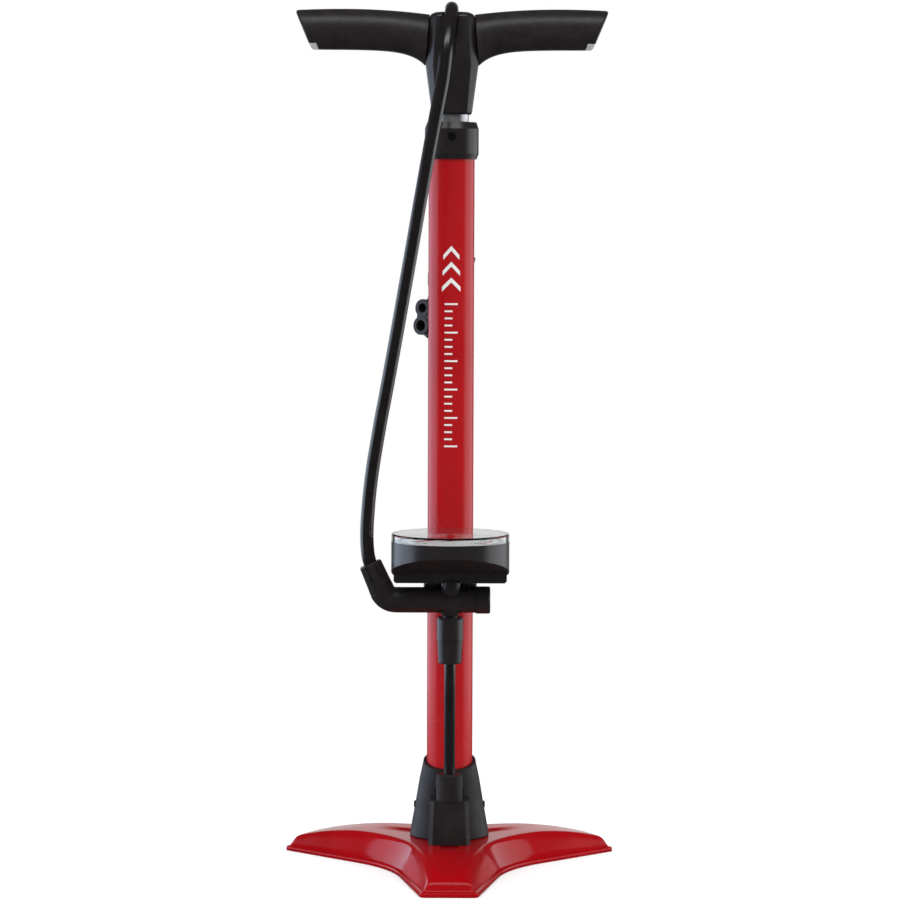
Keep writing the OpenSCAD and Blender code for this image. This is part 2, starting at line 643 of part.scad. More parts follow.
module rod_wiper() color(rubber) translate([0, 0, barrel_top + 4]) difference() {
    cylinder(r = 14.5, h = 5.5, $fn = round_fn);
    translate([0, 0, -1]) cylinder(r = rod_r + 0.06, h = 10, $fn = round_fn);
}

// ---------------------------------------------------------------- rod and piston
piston_z0 = 50;
piston_z1 = 66;
rod_top = 628;

module piston_rod() color(silver) difference() {
    translate([0, 0, piston_z1]) cylinder(r = rod_r, h = rod_top - piston_z1, $fn = 128);
    translate([0, 0, piston_z1 - 1]) cylinder(r = rod_r - 2, h = 700, $fn = 96);
    translate([0, 0, 596]) rotate([-90, 0, 0]) cylinder(r = 2.5, h = 20, $fn = 32);
}

module piston() color("#dcd9cf") difference() {
    union() {
        rotate_extrude($fn = round_fn)
            polygon([[0, piston_z0], [bore_r - 0.4, piston_z0], [bore_r - 0.4, 54],
                [13.4, 54], [13.4, 58.6], [bore_r - 0.4, 58.6], [bore_r - 0.4, piston_z1 - 0.05],
                [0, piston_z1 - 0.05]]);
        translate([0, 0, piston_z1 - 1]) cylinder(r = rod_r - 2 - fit, h = 15, $fn = 96);
    }
    translate([0, 0, 40]) cylinder(r = 3 + fit, h = 60, $fn = 32);
    translate([0, 0, 45]) cylinder(r = 6, h = 9, $fn = 48);
}

module piston_seal() color(rubber) translate([0, 0, 56.3]) o_ring(14.7, 1.25);

module piston_bolt() color(silver) difference() {
    union() {
        translate([0, 0, 50.6]) cylinder(r = 5.4, h = 3.3, $fn = 48);
        translate([0, 0, 53.5]) cylinder(r = 3, h = 30, $fn = 32);
    }
    translate([0, 0, 50]) cylinder(r = 2.6, h = 2.6, $fn = 6);
}

module top_bumper() color(rubber) translate([0, 0, piston_z1 + 0.2]) difference() {
    cylinder(r = bore_r - 0.5, h = 6, $fn = round_fn);
    translate([0, 0, -1]) cylinder(r = rod_r + 0.04, h = 10, $fn = round_fn);
}

// ---------------------------------------------------------------- handle
bar_r = 7;
core_x = 20;
seam_x = 16.85;

// Eight-sided slab: half widths in x and y, corner cut, height
module oct_slab(hx, hy, cut, z) {
    translate([0, 0, z]) linear_extrude(0.2)
        polygon([[hx, -hy + cut], [hx, hy - cut], [hx - cut, hy], [-hx + cut, hy],
            [-hx, hy - cut], [-hx, -hy + cut], [-hx + cut, -hy], [hx - cut, -hy]]);
}

module handle_core() color(black) difference() {
    union() {
        hull() {
            oct_slab(15.1, 15.4, 4.5, stem_z0);
            oct_slab(core_x, 17.4, 6.5, 611);
        }
        hull() {
            oct_slab(core_x, 17.4, 6.5, 611);
            oct_slab(seam_x, 17.4, 5.5, 649.2);
            oct_slab(12.4, 13.6, 5, 651.4);
        }
        translate([-98, 0, bar_z]) rotate([0, 90, 0]) cylinder(r = bar_r, h = 196, $fn = 64);
    }
    translate([0, 0, stem_z0 - 1]) cylinder(r = rod_r + 0.04, h = rod_top + 1.6 - stem_z0,
        $fn = 128);
    translate([loop_x, 0, loop_z]) rotate([90, 0, 90])
        rotate_extrude(angle = 180, $fn = 160)
        translate([loop_r, 0]) circle(hose_r + 0.45, $fn = 48);
    translate([-8, -20, 619]) rotate([0, 4.5, 0]) cube([10.3, 6, 50]);
    translate([0, 0, 596]) rotate([-90, 0, 0]) {
        cylinder(r = 2.5 + fit, h = 30, $fn = 32);
        translate([0, 0, 13.8]) cylinder(r = 4.6, h = 10, $fn = 48);
    }
}

module handle_screw() color(silver) translate([0, 0, 596]) rotate([-90, 0, 0]) difference() {
    union() {
        translate([0, 0, 11.2]) cylinder(r = 2.45, h = 2.8, $fn = 32);
        translate([0, 0, 13.85]) cylinder(r = 4.3, h = 2.2, $fn = 48);
    }
    translate([0, 0, 15]) cylinder(r = 2, h = 2, $fn = 6);
}

// Grip: a loft of soft-cornered sections whose end is cut on the slant
grip_stations = [0, 0.04, 0.1, 0.2, 0.34, 0.5, 0.66, 0.8, 0.92, 0.98, 1];
grip_inner_x = 18.75;
grip_slant = 0.42;
grip_mid_z = 641;
inner_slant = 0.082;
inner_mid_z = 628;
tab_x = 102.6;
tab_z = 627.7;
tab_lean = 0.34;
function grip_x(s) = mix(grip_inner_x, handle_half - 5, s);
function grip_top(x) =
    x < 80 ? 654.1 - 4.3 * pow((80 - x) / 63, 2) : 654.1 - 1.2 * pow((x - 80) / 37, 2);
function grip_low(x) = 623.2 - 10.2 * exp(-(x - 21) / 13);
function grip_depth(s) = 15.4 - 1.4 * s - (s > 0.95 ? (s - 0.95) * 16 : 0);
function soft(v) = sign(v) * pow(abs(v), 0.72);
function grip_ring(side, s, n) =
    let (x = grip_x(s), top = grip_top(x), low = grip_low(x), mid = (top + low) / 2,
        hz = (top - low) / 2, shrink = s > 0.99 ? 0.94 : 1)
    [for (k = [0:n - 1]) let (a = -side * 360 * (k + 0.5) / n,
        z = mid + shrink * hz * soft(sin(a)),
        slant = grip_slant * pow(s, 3) * (z - grip_mid_z)
            - inner_slant * pow(1 - s, 3) * (z - inner_mid_z))
        [side * (x + slant), shrink * grip_depth(s) * soft(cos(a)), z]];
module grip_loft(side) {
    ring_stack([for (s = grip_stations) grip_ring(side, s, 24)]);
}

// Space for the tab at the grip's lower outer corner, grown by gap on its two inner faces
module tab_space(side, gap) {
    reach = 30;
    rotate([90, 0, 0]) linear_extrude(60, center = true)
        polygon([[side * (tab_x - gap), tab_z + gap], [side * (tab_x + reach), tab_z + gap],
            [side * (tab_x + reach), tab_z - reach],
            [side * (tab_x - gap - tab_lean * (reach + gap)), tab_z - reach]]);
}

module grip(side) color(rubber) difference() {
    grip_loft(side);
    translate([side * 10, 0, bar_z]) rotate([0, side * 90, 0])
        cylinder(r = bar_r + 0.1, h = 88.4, $fn = 64);
    tab_space(side, 0.05);
}

module grip_left() grip(-1);
module grip_right() grip(1);

module grip_end_inserts() color(silver)
    for (side = [-1, 1]) intersection() {
        grip_loft(side);
        tab_space(side, 0);
    }

// ---------------------------------------------------------------- pump head
head_at = [-11.4, 30, 419.4];
head_turn = -126.87;
head_tilt = 5;
bore_hi = 6.9;
bore_lo = -6.7;
ferrule_z0 = 19;
head_low = -16.5;

// Local frame of the head: +X out of the valve holes, +Z along the hose
module at_head() {
    translate(head_at) rotate([0, head_tilt, 0]) rotate([0, 0, head_turn]) children();
}

module along_x(z, x0, x1, r, fn) {
    translate([x0, 0, z]) rotate([0, 90, 0]) cylinder(r = r, h = x1 - x0, $fn = fn);
}

pivot = [-10.5, 0, -2];
module head_body() color(soft_black) at_head() difference() {
    union() {
        rotate_extrude($fn = round_fn)
            polygon([[0, head_low], [5.4, head_low], [8.2, head_low + 2], [9.6, head_low + 5.5],
                [9.6, 8], [7.6, ferrule_z0 - 2], [7.2, ferrule_z0], [0, ferrule_z0]]);
        along_x(bore_hi, 0, 19, 6.8, 64);
        along_x(bore_lo, 0, 19, 7.1, 64);
        translate([0, -4.5, bore_lo]) cube([18.8, 9, bore_hi - bore_lo]);
        translate([-14.5, -7.2, -8]) cube([10, 14.4, 12]);
    }
    along_x(bore_hi, 2, 16, 5.2, 48);
    along_x(bore_lo, 2, 16, 5.2, 48);
    along_x(bore_hi, 10, 25, 3.65, 48);
    along_x(bore_lo, 10, 25, 4.2, 48);
    translate([-3.4, -3.2, -13]) cube([9, 6.4, 26]);
    translate([-20, -3.9, -14]) cube([17.4, 7.8, 24]);
    translate([0, 0, 12]) cylinder(r = 2, h = 20, $fn = 32);
    translate([0, 0, 17]) cylinder(r = hose_r + 0.2, h = 20, $fn = 48);
    translate(pivot) rotate([90, 0, 0]) cylinder(r = 1.5 + fit, h = 40, $fn = 32, center = true);
}

module head_ferrule() color(silver) at_head() difference() {
    rotate_extrude($fn = round_fn)
        polygon([[0, ferrule_z0 + 0.1], [7.2, ferrule_z0 + 0.1], [7.2, 36.5], [6.5, 38], [0, 38]]);
    translate([0, 0, 10]) cylinder(r = hose_r + 0.45, h = 40, $fn = 48);
}

module gasket(z, bore) {
    difference() {
        along_x(z, 8.6, 15.9, 5.15, 48);
        along_x(z, 8, 17, bore, 48);
    }
}

module head_gaskets() color("#2a2a2c") at_head() {
    gasket(bore_hi, 3.1);
    gasket(bore_lo, 3.95);
}

module head_plunger() color("#d8d5c8") at_head() difference() {
    union() {
        translate([-1.6, -2.9, -12]) cube([4.4, 5.8, 24]);
        along_x(pivot.z, -5.2, -1.5, 2.4, 32);
        along_x(bore_hi, 2.7, 6.4, 5.1, 48);
        along_x(bore_lo, 2.7, 6.4, 5.1, 48);
    }
    along_x(bore_hi, 4, 8, 2, 32);
    along_x(bore_lo, 4, 8, 2, 32);
}

lever_rise = 65;
module head_lever() color(black) at_head() translate(pivot) difference() {
    union() {
        rotate([90, 0, 0]) cylinder(r = 4.6, h = 6.8, $fn = 64, center = true);
        rotate([0, lever_rise - 180, 0]) lever_blade();
    }
    rotate([90, 0, 0]) cylinder(r = 1.5 + 0.05, h = 40, $fn = 32, center = true);
}

// Blade of the lever, along local +X before it is turned round
module lever_blade() {
    hull() {
        translate([2, 0, 0]) cube([2, 6.6, 7], center = true);
        translate([22, 0, 1]) cube([2, 9, 5], center = true);
    }
    hull() {
        translate([21, 0, 1]) cube([2, 9, 5], center = true);
        translate([55.6, 0, 2.5]) cylinder(r = 3.4, h = 3, $fn = 32);
    }
}

module lever_pin() color(silver) at_head() translate(pivot) rotate([90, 0, 0])
    cylinder(r = 1.5, h = 14, $fn = 32, center = true);

// Clip stuck to the back of the barrel, holding the head's ferrule
clip_z0 = 444;
clip_z1 = 454;
clip_axis = [-8.8, 30];
clip_bore = 7.8;
module clip_sector(r0, r1, a0, a1, z0, z1) {
    translate([0, 0, z0]) rotate([0, 0, a0]) rotate_extrude(angle = a1 - a0, $fn = 128)
        translate([r0, 0]) square([r1 - r0, z1 - z0]);
}

module head_clip() color(black) difference() {
    union() {
        clip_sector(barrel_r + 0.9, barrel_r + 3, 78, 134, clip_z0 - 6, clip_z1 + 6);
        translate([clip_axis.x, clip_axis.y, clip_z0]) cylinder(r = 9.3, h = clip_z1 - clip_z0,
            $fn = 96);
        translate([-12.2, 17, clip_z0]) cube([9, 9, clip_z1 - clip_z0]);
    }
    translate([clip_axis.x, clip_axis.y, clip_z0 - 1]) cylinder(r = clip_bore, h = 20, $fn = 96);
    translate([clip_axis.x - 5.6, clip_axis.y, clip_z0 - 1]) cube([11.2, 20, 20]);
    translate([0, 0, clip_z0 - 10]) cylinder(r = barrel_r + 0.9, h = 40, $fn = 128);
}

module clip_pad() color("#3a3a3a")
    clip_sector(barrel_r + 0.02, barrel_r + 0.88, 80, 132, clip_z0 - 5, clip_z1 + 5);

base_plate();
rubber_feet();
base_bolts();
base_collar();
collar_screws();
barrel();
barrel_seal();
check_ball();
check_spring();
outlet_ferrule();
riser_tube();
riser_sleeve();
riser_nut();
riser_seal();
manifold();
manifold_cap();
manifold_seals();
manifold_screws();
swivel_elbow();
hose_nut();
main_hose();
clamp_front();
clamp_rear();
clamp_screws();
gauge_housing();
gauge_dial();
gauge_lens();
gauge_seal();
bourdon_tube();
gauge_movement();
gauge_pointer();
top_cap();
cap_screw();
guide_bush();
rod_wiper();
piston_rod();
piston();
piston_seal();
piston_bolt();
top_bumper();
handle_core();
handle_screw();
grip_left();
grip_right();
grip_end_inserts();
head_body();
head_ferrule();
head_gaskets();
head_plunger();
head_lever();
lever_pin();
head_clip();
clip_pad();
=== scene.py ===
"""Floor bike pump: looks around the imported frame. Metres; +Z up, front towards -Y."""
import math

import bmesh
import bpy
from mathutils import Matrix, Vector


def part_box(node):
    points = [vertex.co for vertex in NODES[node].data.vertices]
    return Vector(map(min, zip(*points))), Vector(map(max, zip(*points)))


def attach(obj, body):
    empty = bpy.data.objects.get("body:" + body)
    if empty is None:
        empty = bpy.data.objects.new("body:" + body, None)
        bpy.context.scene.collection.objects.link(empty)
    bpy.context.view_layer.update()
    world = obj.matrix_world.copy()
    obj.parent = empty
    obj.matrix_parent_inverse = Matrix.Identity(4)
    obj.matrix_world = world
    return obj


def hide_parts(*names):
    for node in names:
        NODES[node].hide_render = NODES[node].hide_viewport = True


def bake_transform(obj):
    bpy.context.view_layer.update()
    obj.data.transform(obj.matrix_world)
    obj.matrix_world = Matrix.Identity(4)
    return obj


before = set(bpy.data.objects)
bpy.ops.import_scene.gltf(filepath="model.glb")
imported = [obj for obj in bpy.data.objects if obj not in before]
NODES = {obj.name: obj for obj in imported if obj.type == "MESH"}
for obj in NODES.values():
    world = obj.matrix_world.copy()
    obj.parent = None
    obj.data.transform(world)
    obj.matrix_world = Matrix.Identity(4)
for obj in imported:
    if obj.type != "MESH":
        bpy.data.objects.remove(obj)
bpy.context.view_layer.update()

MM = 0.001


# ------------------------------------------------------------------ materials
def srgb(r, g, b):
    """8-bit sRGB to linear."""
    def one(c):
        c /= 255
        return c / 12.92 if c <= 0.04045 else ((c + 0.055) / 1.055) ** 2.4
    return (one(r), one(g), one(b), 1.0)


class Mat:
    """A Principled material with its nodes built one by one."""

    def __init__(self, name):
        self.mat = bpy.data.materials.new(name)
        self.mat.use_nodes = True
        self.tree = self.mat.node_tree
        self.bsdf = self.tree.nodes["Principled BSDF"]
        self.out = self.tree.nodes["Material Output"]
        self.coord = self.tree.nodes.new("ShaderNodeTexCoord").outputs["Object"]

    def node(self, kind, **values):
        n = self.tree.nodes.new(kind)
        for key, value in values.items():
            if key in n.inputs:
                n.inputs[key].default_value = value
            else:
                setattr(n, key, value)
        return n

    def link(self, a, b):
        self.tree.links.new(a, b)

    def noise(self, scale, detail=2.0, rough=0.5, stretch=None):
        n = self.node("ShaderNodeTexNoise", Scale=scale, Detail=detail, Roughness=rough)
        source = self.coord
        if stretch:
            mapping = self.node("ShaderNodeMapping")
            mapping.inputs["Scale"].default_value = stretch
            self.link(self.coord, mapping.inputs["Vector"])
            source = mapping.outputs["Vector"]
        self.link(source, n.inputs["Vector"])
        return n.outputs["Fac"]

    def ranged(self, value, low, high, out_low, out_high):
        n = self.node("ShaderNodeMapRange")
        for key, v in zip(("From Min", "From Max", "To Min", "To Max"),
                          (low, high, out_low, out_high)):
            n.inputs[key].default_value = v
        self.link(value, n.inputs["Value"])
        return n.outputs["Result"]

    def blend(self, fac, a, b):
        """Colour a at 0, b at 1; either may be a socket."""
        n = self.tree.nodes.new("ShaderNodeMix")
        n.data_type = "RGBA"
        for socket, value in ((n.inputs[6], a), (n.inputs[7], b)):
            if hasattr(value, "is_linked"):
                self.link(value, socket)
            else:
                socket.default_value = value
        self.link(fac, n.inputs[0])
        return n.outputs[2]

    def color(self, value):
        self.link(value, self.bsdf.inputs["Base Color"])

    def roughness(self, value):
        self.link(value, self.bsdf.inputs["Roughness"])

    def bumps(self, layers, rounded=0.0):
        """layers: (height socket, depth in metres). rounded softens edges in the shading."""
        normal = None
        if rounded:
            bevel = self.node("ShaderNodeBevel", samples=4)
            bevel.inputs["Radius"].default_value = rounded
            normal = bevel.outputs["Normal"]
        for height, depth in layers:
            bump = self.node("ShaderNodeBump", Strength=1.0, Distance=depth)
            self.link(height, bump.inputs["Height"])
            if normal is not None:
                self.link(normal, bump.inputs["Normal"])
            normal = bump.outputs["Normal"]
        self.link(normal, self.bsdf.inputs["Normal"])

    def set(self, **values):
        for key, value in values.items():
            self.bsdf.inputs[key.replace("_", " ")].default_value = value


def painted(name, base, deep, gloss, spec=0.5):
    """Gloss paint over metal: a slow change of depth, orange peel, small changes of gloss."""
    m = Mat(name)
    m.color(m.blend(m.ranged(m.noise(9, 3), 0.35, 0.65, 0, 1), base, deep))
    m.roughness(m.ranged(m.noise(60, 4), 0.3, 0.7, gloss - 0.03, gloss + 0.03))
    m.bumps([(m.noise(300, 2), 0.0000006)])
    m.set(IOR=1.5, Specular_IOR_Level=spec)
    return m.mat


def moulded(name, base, worn, rough, grain=0.00001, grain_scale=2600, spec=0.5):
    """Moulded plastic: a sparked grain, patches handled smoother, slightly paler rubbed spots."""
    m = Mat(name)
    m.color(m.blend(m.ranged(m.noise(70, 5, 0.6), 0.45, 0.75, 0, 1), base, worn))
    m.roughness(m.ranged(m.noise(40, 4), 0.3, 0.7, rough - 0.05, rough + 0.06))
    m.bumps([(m.noise(grain_scale, 3, 0.55), grain), (m.noise(180, 2), grain * 1.5)], 0.00025)
    m.set(Specular_IOR_Level=spec)
    return m.mat


def metal(name, base, rough, brushed=None, rounded=0.00015, metallic=1.0):
    """Bare metal: fine lines in one direction, small changes of gloss."""
    m = Mat(name)
    m.color(m.blend(m.noise(150, 3), base, tuple(c * 0.82 for c in base[:3]) + (1,)))
    lines = m.noise(1800, 2, 0.5, brushed or (1, 1, 1))
    m.roughness(m.ranged(lines, 0.3, 0.7, rough * 0.8, rough * 1.25))
    m.bumps([(lines, 0.000002)], rounded)
    m.set(Metallic=metallic)
    return m.mat


def rubbery(name, base, dusty, rough, spec=0.4, grain=0.000012, spread=0.065):
    m = Mat(name)
    m.color(m.blend(m.ranged(m.noise(110, 5, 0.6), 0.42, 0.7, 0, 1), base, dusty))
    m.roughness(m.ranged(m.noise(300, 4), 0.3, 0.7, rough - spread, rough + spread))
    m.bumps([(m.noise(3200, 3, 0.6), grain)], 0.0002)
    m.set(Specular_IOR_Level=spec)
    return m.mat


def clear_lens():
    """Clear moulding that lets lamps through, with faint rubbing marks."""
    m = Mat("lens_clear")
    m.set(Base_Color=(0.97, 0.985, 0.985, 1), Transmission_Weight=1.0, IOR=1.49)
    m.roughness(m.ranged(m.noise(220, 4), 0.5, 0.75, 0.01, 0.05))
    m.bumps([(m.noise(160, 2), 0.000003)])
    passing = m.node("ShaderNodeBsdfTransparent", Color=(0.95, 0.96, 0.96, 1))
    mix = m.node("ShaderNodeMixShader")
    m.link(m.node("ShaderNodeLightPath").outputs["Is Shadow Ray"], mix.inputs[0])
    m.link(m.bsdf.outputs[0], mix.inputs[1])
    m.link(passing.outputs[0], mix.inputs[2])
    m.link(mix.outputs[0], m.out.inputs["Surface"])
    return m.mat


def printed(name, base, other, rough=0.5):
    m = Mat(name)
    m.color(m.blend(m.noise(400, 3), base, other))
    m.roughness(m.ranged(m.noise(500, 3), 0.3, 0.7, rough - 0.05, rough + 0.05))
    m.bumps([(m.noise(3000, 2), 0.000003)])
    return m.mat


RED = painted("paint_red", srgb(182, 5, 16), srgb(166, 3, 13), 0.25)
PLATE_RED = painted("paint_plate", srgb(156, 4, 13), srgb(142, 3, 11), 0.12, 0.3)
BLACK = moulded("plastic_black", srgb(29, 24, 25), srgb(38, 33, 34), 0.33, spec=0.8)
GAUGE_BLACK = moulded("plastic_gauge", srgb(28, 24, 25), srgb(35, 31, 32), 0.33, spec=0.95)
COLLAR_BLACK = moulded("plastic_collar", srgb(31, 26, 27), srgb(40, 35, 36), 0.5, spec=0.4)
GRIP = rubbery("grip_soft", srgb(32, 27, 30), srgb(41, 36, 39), 0.38, 0.5)
HOSE = rubbery("hose_skin", srgb(17, 13, 14), srgb(24, 20, 21), 0.24, 1.0, 0.0000012, 0.02)
SEAL = rubbery("seal_rubber", srgb(24, 24, 25), srgb(38, 38, 39), 0.6)
STEEL = metal("steel_plain", (0.62, 0.63, 0.65, 1), 0.28)
FERRULE = metal("steel_ferrule", (0.30, 0.31, 0.33, 1), 0.3, (1, 1, 0.1))
INSERT = metal("insert_satin", (0.80, 0.82, 0.82, 1), 0.36, metallic=0.35)
OXIDE = metal("screw_oxide", (0.06, 0.06, 0.065, 1), 0.36)
# Painted reflection: the chrome piston rod has metallic off and a pale base colour, so its
# brightness is painted in where a real rod would mirror its surroundings
ROD_PAINTED_SHEEN = metal("rod_painted_sheen", (0.86, 0.87, 0.89, 1), 0.36, (1, 1, 0.05), 0)
BRASS = metal("brass_plain", (0.66, 0.45, 0.17, 1), 0.3)
PALE = moulded("acetal_pale", srgb(216, 213, 200), srgb(200, 197, 184), 0.45)
DIAL = printed("dial_print", srgb(226, 228, 227), srgb(218, 220, 220))
INK = printed("dial_ink", srgb(24, 25, 28), srgb(34, 35, 38))
WHITE_INK = printed("decal_white", srgb(238, 238, 236), srgb(226, 226, 225), 0.4)
POINTER = moulded("pointer_red", srgb(190, 26, 22), srgb(176, 22, 19), 0.35)
LENS = clear_lens()

NODE_MATERIALS = {
    RED: ["barrel"],
    PLATE_RED: ["base_plate"],
    COLLAR_BLACK: ["base_collar", "collar_screws", "outlet_ferrule"],
    BLACK: ["riser_sleeve", "riser_nut", "manifold", "manifold_cap", "swivel_elbow", "hose_nut",
            "clamp_front", "clamp_rear", "top_cap", "handle_core",
            "head_body", "head_lever", "head_clip"],
    GAUGE_BLACK: ["gauge_housing"],
    GRIP: ["grip_left", "grip_right"],
    HOSE: ["main_hose", "riser_tube"],
    SEAL: ["rubber_feet", "barrel_seal", "riser_seal", "manifold_seals", "gauge_seal",
           "rod_wiper", "piston_seal", "top_bumper", "head_gaskets", "clip_pad"],
    STEEL: ["base_bolts", "check_ball", "check_spring", "manifold_screws", "clamp_screws",
            "piston_bolt", "handle_screw", "lever_pin"],
    OXIDE: ["cap_screw"],
    FERRULE: ["head_ferrule"],
    INSERT: ["grip_end_inserts"],
    ROD_PAINTED_SHEEN: ["piston_rod"],
    BRASS: ["bourdon_tube", "gauge_movement"],
    PALE: ["guide_bush", "piston", "head_plunger"],
    DIAL: ["gauge_dial"],
    POINTER: ["gauge_pointer"],
    LENS: ["gauge_lens"],
}
for material, names in NODE_MATERIALS.items():
    for node_name in names:
        for material_slot in NODES[node_name].material_slots:
            material_slot.material = material


# ------------------------------------------------------------------ mesh helpers
def add_mesh(name, verts, faces, material, matrix=None):
    """A smooth-shaded mesh from points in millimetres."""
    mesh = bpy.data.meshes.new(name)
    place = matrix or Matrix.Identity(4)
    mesh.from_pydata([tuple((place @ Vector(v)) * MM) for v in verts], [], faces)
    bm = bmesh.new()
    bm.from_mesh(mesh)
    bmesh.ops.remove_doubles(bm, verts=bm.verts, dist=1e-7)
    bmesh.ops.recalc_face_normals(bm, faces=bm.faces)
    bm.to_mesh(mesh)
    bm.free()
    mesh.polygons.foreach_set("use_smooth", [True] * len(mesh.polygons))
    mesh.materials.append(material)
    obj = bpy.data.objects.new(name, mesh)
    bpy.context.scene.collection.objects.link(obj)
    return obj


def even_normals(obj):
    """Flat faces keep their own shading beside small rounded edges."""
    modifier = obj.modifiers.new("normals", "WEIGHTED_NORMAL")
    modifier.weight = 60
    modifier.keep_sharp = False
    return obj


def stand_for(obj, body, slot, *nodes):
    if body:
        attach(obj, body)
    if nodes:
        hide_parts(*nodes)
    return obj


def spline(points, steps):
    """Points along a smooth curve through the given ones, as in the part's source."""
    out = []
    for i in range(len(points) - 1):
        a, b = Vector(points[max(i - 1, 0)]), Vector(points[i])
        c, d = Vector(points[i + 1]), Vector(points[min(i + 2, len(points) - 1)])
        for s in range(steps):
            t = s / steps
            out.append(0.5 * (2 * b + (c - a) * t + (2 * a - 5 * b + 4 * c - d) * t * t
                              + (3 * b - a - 3 * c + d) * t * t * t))
    return out + [Vector(points[-1])]


def swept(path, radius, sides):
    """Rings round a path that don't twist, with closed ends."""
    verts, faces = [], []
    side = None
    for i, p in enumerate(path):
        ahead = path[min(i + 1, len(path) - 1)] - path[max(i - 1, 0)]
        ahead.normalize()
        if side is None:
            side = ahead.orthogonal()
        side = (side - ahead * side.dot(ahead)).normalized()
        up = ahead.cross(side)
        r = radius(i / (len(path) - 1)) if callable(radius) else radius
        for k in range(sides):
            a = 2 * math.pi * k / sides
            verts.append(p + (side * math.cos(a) + up * math.sin(a)) * r)
    for i in range(len(path) - 1):
        for k in range(sides):
            j = (k + 1) % sides
            faces.append((i * sides + k, i * sides + j, (i + 1) * sides + j, (i + 1) * sides + k))
    faces.append(tuple(range(sides - 1, -1, -1)))
    faces.append(tuple((len(path) - 1) * sides + k for k in range(sides)))
    return verts, faces


# ------------------------------------------------------------------ camera and light
CAMERA_AT = (-0.0005, -2.595, 0.496)
CAMERA_PITCH = 3.9
CAMERA_ROLL = 0.207
camera = bpy.data.cameras.new("camera")
camera.lens = 136
camera.sensor_width = 36
camera.clip_end = 50
camera_object = bpy.data.objects.new("camera", camera)
camera_object.matrix_world = (Matrix.Translation(CAMERA_AT)
                              @ Matrix.Rotation(math.radians(90 - CAMERA_PITCH), 4, "X")
                              @ Matrix.Rotation(math.radians(CAMERA_ROLL), 4, "Z"))
bpy.context.scene.collection.objects.link(camera_object)
bpy.context.scene.camera = camera_object


def softbox(name, at, target, size, power, color=(1, 1, 1)):
    light = bpy.data.lights.new(name, "AREA")
    light.shape = "RECTANGLE"
    light.size, light.size_y = size
    light.energy = power
    light.color = color
    obj = bpy.data.objects.new(name, light)
    obj.location = at
    obj.rotation_euler = (Vector(target) - Vector(at)).to_track_quat("-Z", "Y").to_euler()
    bpy.context.scene.collection.objects.link(obj)
    return obj


BOX_REACH, BOX_Z = 1.5, 0.32


def side_box(name, side, azimuth, width, height, radiance, color):
    """A tall softbox beside the pump; azimuth is measured from the front."""
    turn = math.radians(azimuth)
    at = (side * BOX_REACH * math.sin(turn), -BOX_REACH * math.cos(turn), BOX_Z)
    power = radiance * math.pi * width * height
    return softbox(name, at, (0, 0, BOX_Z), (width, height), power, color)


side_box("box_left", -1, 110, 2.2, 0.9, 1.75, (0.74, 0.87, 1.08))
side_box("box_right", 1, 106, 1.9, 0.9, 1.3, (0.95, 0.98, 1.02))
softbox("box_front", (0, -0.98, 1.6), (0, 0, 0.35), (2.0, 0.62), 9)

world = bpy.data.worlds.new("studio")
bpy.context.scene.world = world
world.use_nodes = True
world_tree = world.node_tree
backdrop = world_tree.nodes["Background"]
backdrop.inputs["Color"].default_value = (1, 1, 1, 1)


def along(axis, low, high, value_low, value_high):
    """A strength that grows with one part of the ray's direction."""
    parts = world_tree.nodes.new("ShaderNodeSeparateXYZ")
    world_tree.links.new(world_tree.nodes.new("ShaderNodeTexCoord").outputs["Generated"],
                         parts.inputs[0])
    scale = world_tree.nodes.new("ShaderNodeMapRange")
    for key, value in zip(("From Min", "From Max", "To Min", "To Max"),
                          (low, high, value_low, value_high)):
        scale.inputs[key].default_value = value
    world_tree.links.new(parts.outputs[axis], scale.inputs["Value"])
    return scale.outputs["Result"]


def choose(switch, off, on):
    """The value on where a light path switch is 1, off elsewhere."""
    mix = world_tree.nodes.new("ShaderNodeMix")
    mix.data_type = "FLOAT"
    for socket, value in ((mix.inputs[2], off), (mix.inputs[3], on)):
        if hasattr(value, "is_linked"):
            world_tree.links.new(value, socket)
        else:
            socket.default_value = value
    rays = world_tree.nodes.new("ShaderNodeLightPath")
    world_tree.links.new(rays.outputs[switch], mix.inputs[0])
    return mix.outputs[0]


# White to look at; brighter fill from above; in reflections dark but for the backdrop
fill_light = along("Z", -0.3, 1.0, 0.55, 1.35)
reflected = along("Y", 0.9, 0.98, 0.04, 0.7)
world_tree.links.new(choose("Is Camera Ray", choose("Is Glossy Ray", fill_light, reflected), 1.0),
                     backdrop.inputs["Strength"])
bpy.context.scene.view_settings.view_transform = "Standard"
bpy.context.scene.view_settings.look = "None"


def floor_paper():
    """White paper that thins out into the backdrop far from the pump."""
    m = Mat("floor_pale")
    m.color(m.blend(m.noise(40, 3), srgb(250, 250, 250), srgb(247, 247, 248)))
    m.roughness(m.ranged(m.noise(90, 3), 0.3, 0.7, 0.55, 0.65))
    m.bumps([(m.noise(600, 3), 0.00001)])
    m.set(Specular_IOR_Level=0.2)
    far = m.node("ShaderNodeVectorMath", operation="LENGTH")
    m.link(m.coord, far.inputs[0])
    fade = m.ranged(far.outputs["Value"], 0.2, 0.8, 0, 1)
    mix = m.node("ShaderNodeMixShader")
    m.link(fade, mix.inputs[0])
    m.link(m.bsdf.outputs[0], mix.inputs[1])
    m.link(m.node("ShaderNodeBsdfTransparent").outputs[0], mix.inputs[2])
    m.link(mix.outputs[0], m.out.inputs["Surface"])
    return m.mat


FLOOR_HALF = 1500
floor = add_mesh("floor", [(x * FLOOR_HALF, y * FLOOR_HALF, 0)
                           for x, y in ((-1, -1), (1, -1), (1, 1), (-1, 1))],
                 [(0, 1, 2, 3)], floor_paper())
floor.visible_glossy = False

